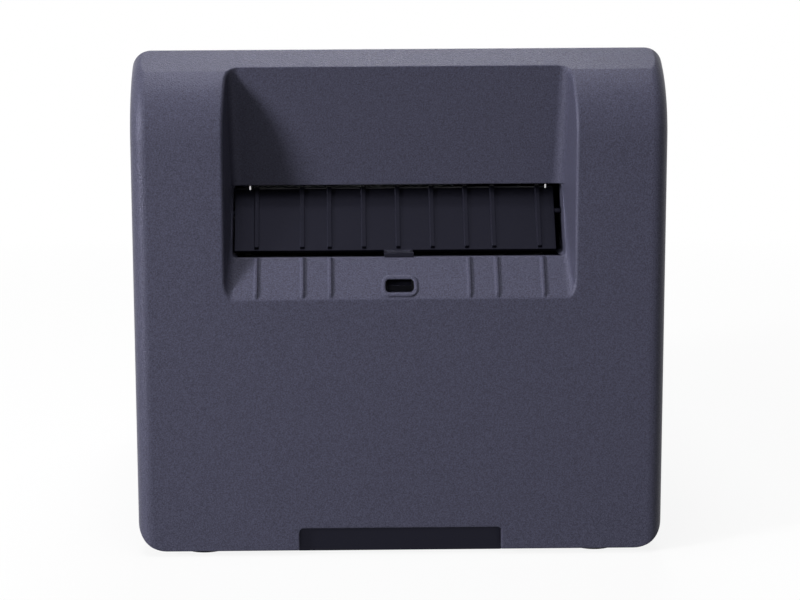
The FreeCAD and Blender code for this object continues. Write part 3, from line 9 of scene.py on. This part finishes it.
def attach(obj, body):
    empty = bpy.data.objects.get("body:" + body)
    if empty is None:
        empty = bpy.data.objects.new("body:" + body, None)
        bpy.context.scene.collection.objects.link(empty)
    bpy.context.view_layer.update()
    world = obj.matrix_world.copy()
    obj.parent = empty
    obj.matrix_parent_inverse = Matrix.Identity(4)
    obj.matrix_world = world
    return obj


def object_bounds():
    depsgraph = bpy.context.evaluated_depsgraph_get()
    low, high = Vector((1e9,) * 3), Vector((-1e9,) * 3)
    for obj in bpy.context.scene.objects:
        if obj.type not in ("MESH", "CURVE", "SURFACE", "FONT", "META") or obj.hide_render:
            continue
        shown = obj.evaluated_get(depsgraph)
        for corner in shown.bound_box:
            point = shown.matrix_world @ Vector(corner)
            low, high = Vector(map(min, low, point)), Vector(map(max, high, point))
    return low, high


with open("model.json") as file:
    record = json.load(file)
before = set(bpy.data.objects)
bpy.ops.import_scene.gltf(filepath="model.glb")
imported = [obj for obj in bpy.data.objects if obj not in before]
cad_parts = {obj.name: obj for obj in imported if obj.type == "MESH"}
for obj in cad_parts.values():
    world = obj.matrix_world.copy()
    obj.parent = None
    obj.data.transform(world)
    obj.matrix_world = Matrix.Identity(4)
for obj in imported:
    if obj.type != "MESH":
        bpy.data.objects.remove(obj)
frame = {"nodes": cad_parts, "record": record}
cad_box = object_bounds()
scene = bpy.context.scene
scene.view_settings.view_transform = "Standard"

# Lengths are in metres.
MM = 0.001


# Materials.
class Material:
    """A node material with short calls for the nodes that the finishes share."""

    def __init__(self, name):
        self.data = bpy.data.materials.new(name)
        self.data.use_nodes = True
        self.tree = self.data.node_tree
        self.tree.nodes.clear()

    def node(self, kind, settings=None, **inputs):
        """A new node. An input is a socket's name with _ for each space, or i and its index.

        It takes a number, a colour or another node's output.
        """
        node = self.tree.nodes.new(kind)
        for name, value in (settings or {}).items():
            setattr(node, name, value)
        for name, value in inputs.items():
            by_index = name[0] == "i" and name[1:].isdigit()
            socket = node.inputs[int(name[1:]) if by_index else name.replace("_", " ")]
            if isinstance(value, bpy.types.NodeSocket):
                self.tree.links.new(value, socket)
            else:
                socket.default_value = value
        return node

    def place(self):
        return self.node("ShaderNodeTexCoord").outputs["Object"]

    def stretched(self, scale):
        return self.node("ShaderNodeMapping", Vector=self.place(), Scale=scale).outputs["Vector"]

    def noise(self, scale, detail=3.0, roughness=0.5, vector=None):
        node = self.node("ShaderNodeTexNoise", Vector=vector or self.place(),
                         Scale=scale, Detail=detail, Roughness=roughness)
        return node.outputs["Fac"]

    def math(self, operation, a, b, clamp=False):
        settings = {"operation": operation, "use_clamp": clamp}
        return self.node("ShaderNodeMath", settings, i0=a, i1=b).outputs[0]

    def spread(self, value, low, high):
        return self.node("ShaderNodeMapRange", Value=value, To_Min=low, To_Max=high).outputs[0]

    def mix(self, amount, first, second):
        settings = {"data_type": "RGBA"}
        return self.node("ShaderNodeMix", settings, i0=amount, i6=first, i7=second).outputs[2]

    def shades(self, amount, colour, low, high):
        """One colour between two levels of brightness."""
        return self.mix(amount, tint(colour, low), tint(colour, high))

    def soft_edge(self, radius):
        """The surface's direction with its edges rounded."""
        return self.node("ShaderNodeBevel", {"samples": 6}, Radius=radius).outputs[0]

    def edge(self, radius, gain):
        """A mask that is 1 on the piece's edges."""
        plain = self.node("ShaderNodeNewGeometry").outputs["Normal"]
        dot = self.node("ShaderNodeVectorMath", {"operation": "DOT_PRODUCT"},
                        i0=self.soft_edge(radius), i1=plain)
        away = self.math("SUBTRACT", 1.0, dot.outputs["Value"])
        return self.math("MULTIPLY", away, gain, clamp=True)

    def bump(self, height, distance, strength, round_off):
        """Fine relief over rounded edges."""
        node = self.node("ShaderNodeBump", Height=height, Distance=distance, Strength=strength,
                         Normal=self.soft_edge(round_off))
        return node.outputs[0]

    def finish(self, colour, roughness, normal, **constants):
        shader = self.node("ShaderNodeBsdfPrincipled", Base_Color=colour, Roughness=roughness,
                           Normal=normal, **constants)
        self.node("ShaderNodeOutputMaterial", Surface=shader.outputs[0])
        return self.data


def tint(colour, factor):
    return (*[channel * factor for channel in colour], 1.0)


def grey(level):
    return (level, level, level, 1.0)


def moulded(name, colour, grain, relief, rough, wear_and_highlight=1.5, round_off=0.6 * MM, specular=0.5,
            speckle=0.3, gloss_tint=(1.0, 1.0, 1.0)):
    """Moulded plastic with spark-eroded grain, slow tone changes, and lighter edges that are partly
    wear and partly a painted highlight.
    """
    fleck_share, wear_and_highlight_share, wear_and_highlight_gain, slow_scale = 0.7, 0.5, 1.6, 28.0
    m = Material(name)
    fine = m.noise(1.0 / grain, detail=2.0, roughness=0.6)
    base = m.shades(m.noise(slow_scale), colour, 0.95, 1.05)
    flecks = m.shades(m.spread(fine, -0.5, 1.5), colour, 1.0 - speckle, 1.0 + speckle)
    base = m.mix(fleck_share, base, flecks)
    # Edges are lightened in the colour: partly wear, partly a painted highlight on every rim.
    worn_and_highlit = m.math("MULTIPLY", m.edge(round_off, wear_and_highlight_gain), wear_and_highlight_share)
    base = m.mix(worn_and_highlit, base, tint(colour, wear_and_highlight))
    normal = m.bump(fine, relief, 1.0, round_off)
    return m.finish(base, m.spread(fine, *rough), normal,
                    Specular_IOR_Level=specular, Specular_Tint=(*gloss_tint, 1.0))


def metal(name, colour, rough=(0.25, 0.42), grain=(40.0, 900.0, 900.0)):
    """Brushed, drawn or ground metal with fine scratches along one axis and bright edges."""
    round_off, edge_gain, edge_share, cloud_scale = 0.2 * MM, 1.5, 0.4, 60.0
    m = Material(name)
    brush = m.noise(1.0, detail=4.0, roughness=0.6, vector=m.stretched(grain))
    base = m.shades(m.noise(cloud_scale), colour, 0.88, 1.08)
    bright = m.math("MULTIPLY", m.edge(round_off, edge_gain), edge_share)
    base = m.mix(bright, base, tint(colour, 1.25))
    normal = m.bump(brush, 0.01 * MM, 0.5, round_off)
    return m.finish(base, m.spread(brush, *rough), normal, Metallic=1.0)


def rubber(name, colour, grain):
    """Dull rubber with a fine tooth and a little dust."""
    dust_scale = 90.0
    m = Material(name)
    fine = m.noise(1.0 / grain, detail=4.0, roughness=0.7)
    base = m.shades(m.noise(dust_scale, detail=4.0), colour, 0.8, 1.5)
    normal = m.bump(fine, 0.05 * MM, 0.8, 0.4 * MM)
    return m.finish(base, m.spread(fine, 0.72, 0.9), normal, Specular_IOR_Level=0.35)


def circuit(name, colour):
    """Solder mask over copper tracks, with lighter tracks and small pads."""
    cell_scale, track_pitch, track_width, pad_radius = 330.0, 0.16, 0.045, 0.07
    pad_colour, sheen_scale = (0.55, 0.5, 0.36, 1.0), 200.0
    m = Material(name)
    cells = m.node("ShaderNodeTexVoronoi", {"distance": "MANHATTAN", "feature": "F1"},
                   Vector=m.place(), Scale=cell_scale).outputs["Distance"]
    tracks = m.math("LESS_THAN", m.math("PINGPONG", cells, track_pitch), track_width)
    pads = m.math("LESS_THAN", cells, pad_radius)
    base = m.mix(pads, m.shades(tracks, colour, 0.9, 1.7), pad_colour)
    normal = m.bump(tracks, 0.03 * MM, 0.4, 0.2 * MM)
    return m.finish(base, m.spread(m.noise(sheen_scale), 0.28, 0.42), normal)


def ceramic_board(name, colour):
    """Glazed ceramic with faint specks."""
    speck_scale = 700.0
    m = Material(name)
    speck = m.noise(speck_scale, detail=4.0)
    base = m.shades(speck, colour, 0.9, 1.05)
    normal = m.bump(speck, 0.01 * MM, 0.4, 0.2 * MM)
    return m.finish(base, m.spread(speck, 0.18, 0.32), normal)


def clear_lens(name, colour):
    """Tinted acrylic with a slight ripple."""
    ripple_scale = 500.0
    m = Material(name)
    ripple = m.noise(ripple_scale, detail=2.0)
    base = m.shades(ripple, colour, 0.85, 1.05)
    normal = m.bump(ripple, 0.02 * MM, 0.3, 0.3 * MM)
    return m.finish(base, m.spread(ripple, 0.08, 0.2), normal, Transmission_Weight=0.5, IOR=1.49)


def case_plastic(name, rough):
    """The bluish grey of the housing."""
    # The strong edge lightening of the housing is a painted highlight along its rims.
    return moulded(name, (0.043, 0.043, 0.067), grain=0.34 * MM, relief=0.12 * MM, rough=rough,
                   wear_and_highlight=2.4, specular=0.21, speckle=0.7, gloss_tint=(0.76, 0.76, 1.0))


FINISHES = {
    "case": case_plastic("case_plastic", rough=(0.52, 0.64)),
    # The guide's strong edge lightening is a painted highlight on its ribs and edges.
    "guide": moulded("guide_plastic", (0.0012, 0.0012, 0.002), grain=0.8 * MM, relief=0.03 * MM,
                     rough=(0.3, 0.42), wear_and_highlight=30.0, round_off=0.3 * MM, specular=0.24,
                     speckle=0.2, gloss_tint=(0.66, 0.66, 1.0)),
    "chassis": moulded("chassis_plastic", (0.045, 0.045, 0.05), grain=0.7 * MM,
                       relief=0.03 * MM, rough=(0.45, 0.6)),
    "steel_sheet": metal("zinc_sheet", (0.56, 0.57, 0.58)),
    "bright_steel": metal("ground_steel", (0.66, 0.66, 0.67), rough=(0.14, 0.28),
                          grain=(900.0, 60.0, 60.0)),
    "screw_steel": metal("plated_screw", (0.42, 0.42, 0.43), rough=(0.22, 0.4),
                         grain=(300.0, 300.0, 40.0)),
    "aluminium": metal("extruded_aluminium", (0.7, 0.71, 0.72), rough=(0.3, 0.48),
                       grain=(50.0, 1200.0, 1200.0)),
    "ceramic": ceramic_board("heater_board", (0.72, 0.7, 0.64)),
    "platen_rubber": rubber("ground_rubber", (0.03, 0.03, 0.033), grain=0.6 * MM),
    "foot_rubber": rubber("foot_rubber", (0.022, 0.022, 0.022), grain=0.9 * MM),
    "gear_plastic": moulded("acetal", (0.66, 0.64, 0.56), grain=0.9 * MM, relief=0.01 * MM,
                            rough=(0.34, 0.46), wear_and_highlight=1.05, round_off=0.15 * MM),
    "motor_can": metal("drawn_can", (0.46, 0.46, 0.47), rough=(0.26, 0.4),
                       grain=(30.0, 700.0, 700.0)),
    "board": circuit("circuit_board", (0.02, 0.13, 0.05)),
    "dark_gloss": moulded("gloss_black", (0.016, 0.016, 0.018), grain=1.2 * MM,
                          relief=0.01 * MM, rough=(0.22, 0.34), round_off=0.3 * MM),
    "socket_metal": metal("tinned_shell", (0.6, 0.6, 0.58), rough=(0.2, 0.36),
                          grain=(500.0, 60.0, 500.0)),
    "button": moulded("button_plastic", (0.11, 0.11, 0.14), grain=0.6 * MM, relief=0.02 * MM,
                      rough=(0.4, 0.52), wear_and_highlight=1.3),
    "lens": clear_lens("lamp_lens", (0.6, 0.72, 0.6)),
}

# The rear cover is the same plastic with a smoother skin.
OWN_FINISHES = {"rear_cover": case_plastic("rear_plastic", rough=(0.3, 0.4))}

for part in frame["record"]["subparts"]:
    for slot in frame["nodes"][part["node"]].material_slots:
        slot.link = "OBJECT"
        slot.material = OWN_FINISHES.get(part["node"], FINISHES[part["material_slot"]])


# Trim that is too thin or too soft for the solids.
QUARTER = math.pi / 2
ROUND_STEPS = 6
BEAD_SIDES = 10
GUIDE_RIBS = (-38.8, -26.3, -18.8, -9.4, 0.0, 9.4, 18.8, 26.3, 38.8)  # across, in millimetres


def skin(name, rings, slot, material=None):
    """A closed piece on the base: each ring is joined to the next, and the ends are capped."""
    shape = bmesh.new()
    loops = [[shape.verts.new(point) for point in ring] for ring in rings]
    for first, second in zip(loops, loops[1:]):
        for i in range(len(first)):
            side = shape.faces.new((first[i - 1], first[i], second[i], second[i - 1]))
            side.smooth = True
    shape.faces.new(loops[0])
    shape.faces.new(loops[-1])
    bmesh.ops.recalc_face_normals(shape, faces=shape.faces[:])
    mesh = bpy.data.meshes.new(name)
    shape.to_mesh(mesh)
    shape.free()
    mesh.materials.append(material or FINISHES[slot])
    piece = bpy.data.objects.new(name, mesh)
    scene.collection.objects.link(piece)
    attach(piece, "base")


def circle_point(centre, radius, turn):
    return (centre[0] + radius * math.cos(turn), centre[1] + radius * math.sin(turn))


def arc(centre, radius, start):
    """Points of a quarter turn, anticlockwise from the start angle."""
    turns = [start + QUARTER * step / ROUND_STEPS for step in range(ROUND_STEPS + 1)]
    return [circle_point(centre, radius, turn) for turn in turns]


def rounded_plate(half_width, low, high, corner, thickness, bevel):
    """Rings of a bevelled plate with round corners: across, up, and outwards from its face."""
    right, left = half_width - corner, corner - half_width
    upper, lower = high - corner, low + corner
    centres = ((right, upper), (left, upper), (left, lower), (right, lower))
    levels = ((bevel, 0.0), (0.0, -bevel), (0.0, bevel - thickness), (bevel, -thickness))
    rings = []
    for inset, level in levels:
        ring = []
        for quarter, centre in enumerate(centres):
            ring += arc(centre, corner - inset, quarter * QUARTER)
        rings.append([(u, v, level) for u, v in ring])
    return rings


def placed(rings, where):
    return [[where(*point) for point in ring] for ring in rings]


def notch_shade_lip():
    """A thin flexible lip behind the rear cover's cable notch, which hides the cable bay; it is a
    dark sheet that stands in for the shade inside the notch.
    """
    set_back = 2.56 * MM
    face = cad_box[1][1] - set_back
    rings = rounded_plate(half_width=28.4 * MM, low=0.7 * MM, high=8.6 * MM,
                          corner=0.9 * MM, thickness=0.47 * MM, bevel=0.1 * MM)
    # It takes the near-black guide plastic, set back into the notch's shadow, as painted shade.
    skin("notch_shade_lip", placed(rings, lambda u, v, w: (u, face + w, v)), "guide")


def hook_shade_pad():
    """A matte black pad on the nose of the guide's hook, inside the latch window: painted shade
    that keeps the window dark.
    """
    top = Vector((0.0, 94.37, 74.1)) * MM
    foot = Vector((0.0, 95.14, 72.7)) * MM
    margin = 0.04 * MM
    proud = 0.08 * MM
    nose = top - foot
    up = nose.normalized()
    out = Vector((0.0, up.z, -up.y))
    rings = rounded_plate(half_width=3.25 * MM, low=margin, high=nose.length - margin,
                          corner=0.3 * MM, thickness=0.12 * MM, bevel=0.04 * MM)
    # Black with no gloss, so that it shows as shade inside the window.
    shade_matte = moulded("hook_painted_shade", (0.003, 0.003, 0.004), grain=0.3 * MM, relief=0.1 * MM,
                   rough=(0.9, 1.0), wear_and_highlight=1.0, round_off=0.1 * MM, specular=0.0, speckle=0.5)

    def on_nose(u, v, w):
        return foot + Vector((u, 0.0, 0.0)) + up * v + out * (w + proud)

    skin("hook_shade_pad", placed(rings, on_nose), "guide", shade_matte)


def guide_highlight_bead():
    """The rounded upper edge of the paper guide, which steps over the crown of each rib; its
    lighter grey is a painted highlight along that edge.
    """
    radius = 0.17 * MM
    right_end, left_end = -43.1 * MM, 44.7 * MM
    edge = (78.62 * MM, 99.52 * MM)
    crown = (79.3 * MM, 100.1 * MM)
    step_over = ((-0.75, edge), (-0.55, crown), (0.55, crown), (0.75, edge))
    path = [(right_end, edge)]
    for rib in GUIDE_RIBS:
        path += [((rib + offset) * MM, point) for offset, point in step_over]
    path.append((left_end, edge))
    turns = [math.tau * side / BEAD_SIDES for side in range(BEAD_SIDES)]
    rings = [[(x, *circle_point(point, radius, turn)) for turn in turns] for x, point in path]
    # The bead takes the lighter chassis grey as a painted highlight on the guide's black edge.
    skin("guide_highlight_bead", rings, "chassis")


def guide_clips():
    """Two small steel clips in the guide's upper edge, outside its ribs."""
    face = 79.3 * MM
    rings = rounded_plate(half_width=0.26 * MM, low=99.2 * MM, high=100.4 * MM,
                          corner=0.18 * MM, thickness=1.2 * MM, bevel=0.05 * MM)
    for name, x in (("guide_clip_left", 40.7 * MM), ("guide_clip_right", -41.1 * MM)):
        skin(name, placed(rings, lambda u, v, w: (x + u, face + w, v)), "bright_steel")


notch_shade_lip()
hook_shade_pad()
guide_highlight_bead()
guide_clips()


# Stage: a pale floor that keeps a soft shadow, under a white sky.
WHITE = grey(1.0)
FLOOR_REACH = 6.0
FLOOR_PAPER = grey(0.6)
FLOOR_DIM = grey(0.12)
# The floor's shadow fades out between these distances and shares of white.
FADE = {"From_Min": 0.2, "From_Max": 0.9, "To_Min": 0.88, "To_Max": 1.0}
ROOM_COLOUR = (0.93, 0.95, 1.0, 1.0)
ROOM_LIGHT = 0.07
# The lamps point at the rear face.
AIM = Vector((0.0, 0.09, 0.075))


def seen_directly(tree):
    """1 for the rays that show the background itself, and 0 for those that carry its light."""
    path = tree.nodes.new("ShaderNodeLightPath").outputs
    total = path["Is Camera Ray"]
    for ray in ("Is Glossy Ray", "Is Transmission Ray"):
        either = tree.nodes.new("ShaderNodeMath")
        either.operation = "MAXIMUM"
        tree.links.new(total, either.inputs[0])
        tree.links.new(path[ray], either.inputs[1])
        total = either.outputs[0]
    return total


def stage_floor():
    """White paper with the object's shadow where it is seen, and dim where it gives light."""
    mesh = bpy.data.meshes.new("floor")
    corners = [(-1, -1), (1, -1), (1, 1), (-1, 1)]
    points = [(x * FLOOR_REACH, y * FLOOR_REACH, 0.0) for x, y in corners]
    mesh.from_pydata(points, [], [(0, 1, 2, 3)])
    floor = bpy.data.objects.new("floor", mesh)
    scene.collection.objects.link(floor)
    m = Material("floor_paper")
    paper = m.node("ShaderNodeBsdfDiffuse", Color=FLOOR_PAPER).outputs[0]
    white = m.node("ShaderNodeEmission", Color=WHITE, Strength=1.0).outputs[0]
    away = m.node("ShaderNodeVectorMath", {"operation": "LENGTH"}, i0=m.place()).outputs["Value"]
    fade = m.node("ShaderNodeMapRange", Value=away, **FADE).outputs[0]
    shown = m.node("ShaderNodeMixShader", i0=fade, i1=paper, i2=white).outputs[0]
    dim = m.node("ShaderNodeBsdfDiffuse", Color=FLOOR_DIM).outputs[0]
    out = m.node("ShaderNodeMixShader", i0=seen_directly(m.tree), i1=dim, i2=shown).outputs[0]
    m.node("ShaderNodeOutputMaterial", Surface=out)
    mesh.materials.append(m.data)


def sky():
    """White where it is seen or reflected, and a dim room for the light that it gives."""
    world = bpy.data.worlds.new("sky")
    world.use_nodes = True
    tree = world.node_tree
    tree.nodes.clear()
    mix = tree.nodes.new("ShaderNodeMixShader")
    tree.links.new(seen_directly(tree), mix.inputs[0])
    for index, colour, strength in ((1, ROOM_COLOUR, ROOM_LIGHT), (2, WHITE, 1.0)):
        backdrop = tree.nodes.new("ShaderNodeBackground")
        backdrop.inputs["Color"].default_value = colour
        backdrop.inputs["Strength"].default_value = strength
        tree.links.new(backdrop.outputs[0], mix.inputs[index])
    out = tree.nodes.new("ShaderNodeOutputWorld")
    tree.links.new(mix.outputs[0], out.inputs[0])
    scene.world = world


def lamp(name, place, size, watts, lights=True, shows=True):
    """A round lamp that lights surfaces, shows in their gloss, or both."""
    data = bpy.data.lights.new(name, "AREA")
    data.shape = "DISK"
    data.size = size
    data.energy = watts
    obj = bpy.data.objects.new(name, data)
    obj.location = place
    obj.rotation_euler = (AIM - Vector(place)).to_track_quat("-Z", "Y").to_euler()
    obj.visible_diffuse = lights
    obj.visible_glossy = shows
    scene.collection.objects.link(obj)


stage_floor()
sky()
lamp("key", (1.08, 0.74, 0.39), size=0.3, watts=28.5, shows=False)
lamp("glint", (0.95, 0.84, 0.41), size=0.14, watts=20.0, lights=False)
lamp("overhead", (0.1, 0.27, 1.3), size=0.6, watts=12.5)
lamp("top", (-0.1, -0.75, 1.05), size=0.5, watts=8.8)


def camera():
    """The camera as fitted to the photograph: angles in radians, lens and sensor in millimetres."""
    yaw, pitch, roll = 0.00723514, 0.1287287, -0.00677912
    place = (0.018869, 0.536573, 0.127498)
    data = bpy.data.cameras.new("camera")
    data.lens = 74.25
    data.sensor_width = 36.0
    data.shift_x = 0.0729
    data.clip_start = 0.01
    level = math.cos(pitch)
    forward = Vector((-math.sin(yaw) * level, -math.cos(yaw) * level, -math.sin(pitch)))
    right = Vector((-math.cos(yaw), math.sin(yaw), 0.0))
    up = right.cross(forward)
    turned_right = math.cos(roll) * right + math.sin(roll) * up
    turned_up = -math.sin(roll) * right + math.cos(roll) * up
    rotation = Matrix((turned_right, turned_up, -forward)).transposed()
    obj = bpy.data.objects.new("camera", data)
    obj.matrix_world = Matrix.Translation(place) @ rotation.to_4x4()
    scene.collection.objects.link(obj)
    scene.camera = obj


camera()
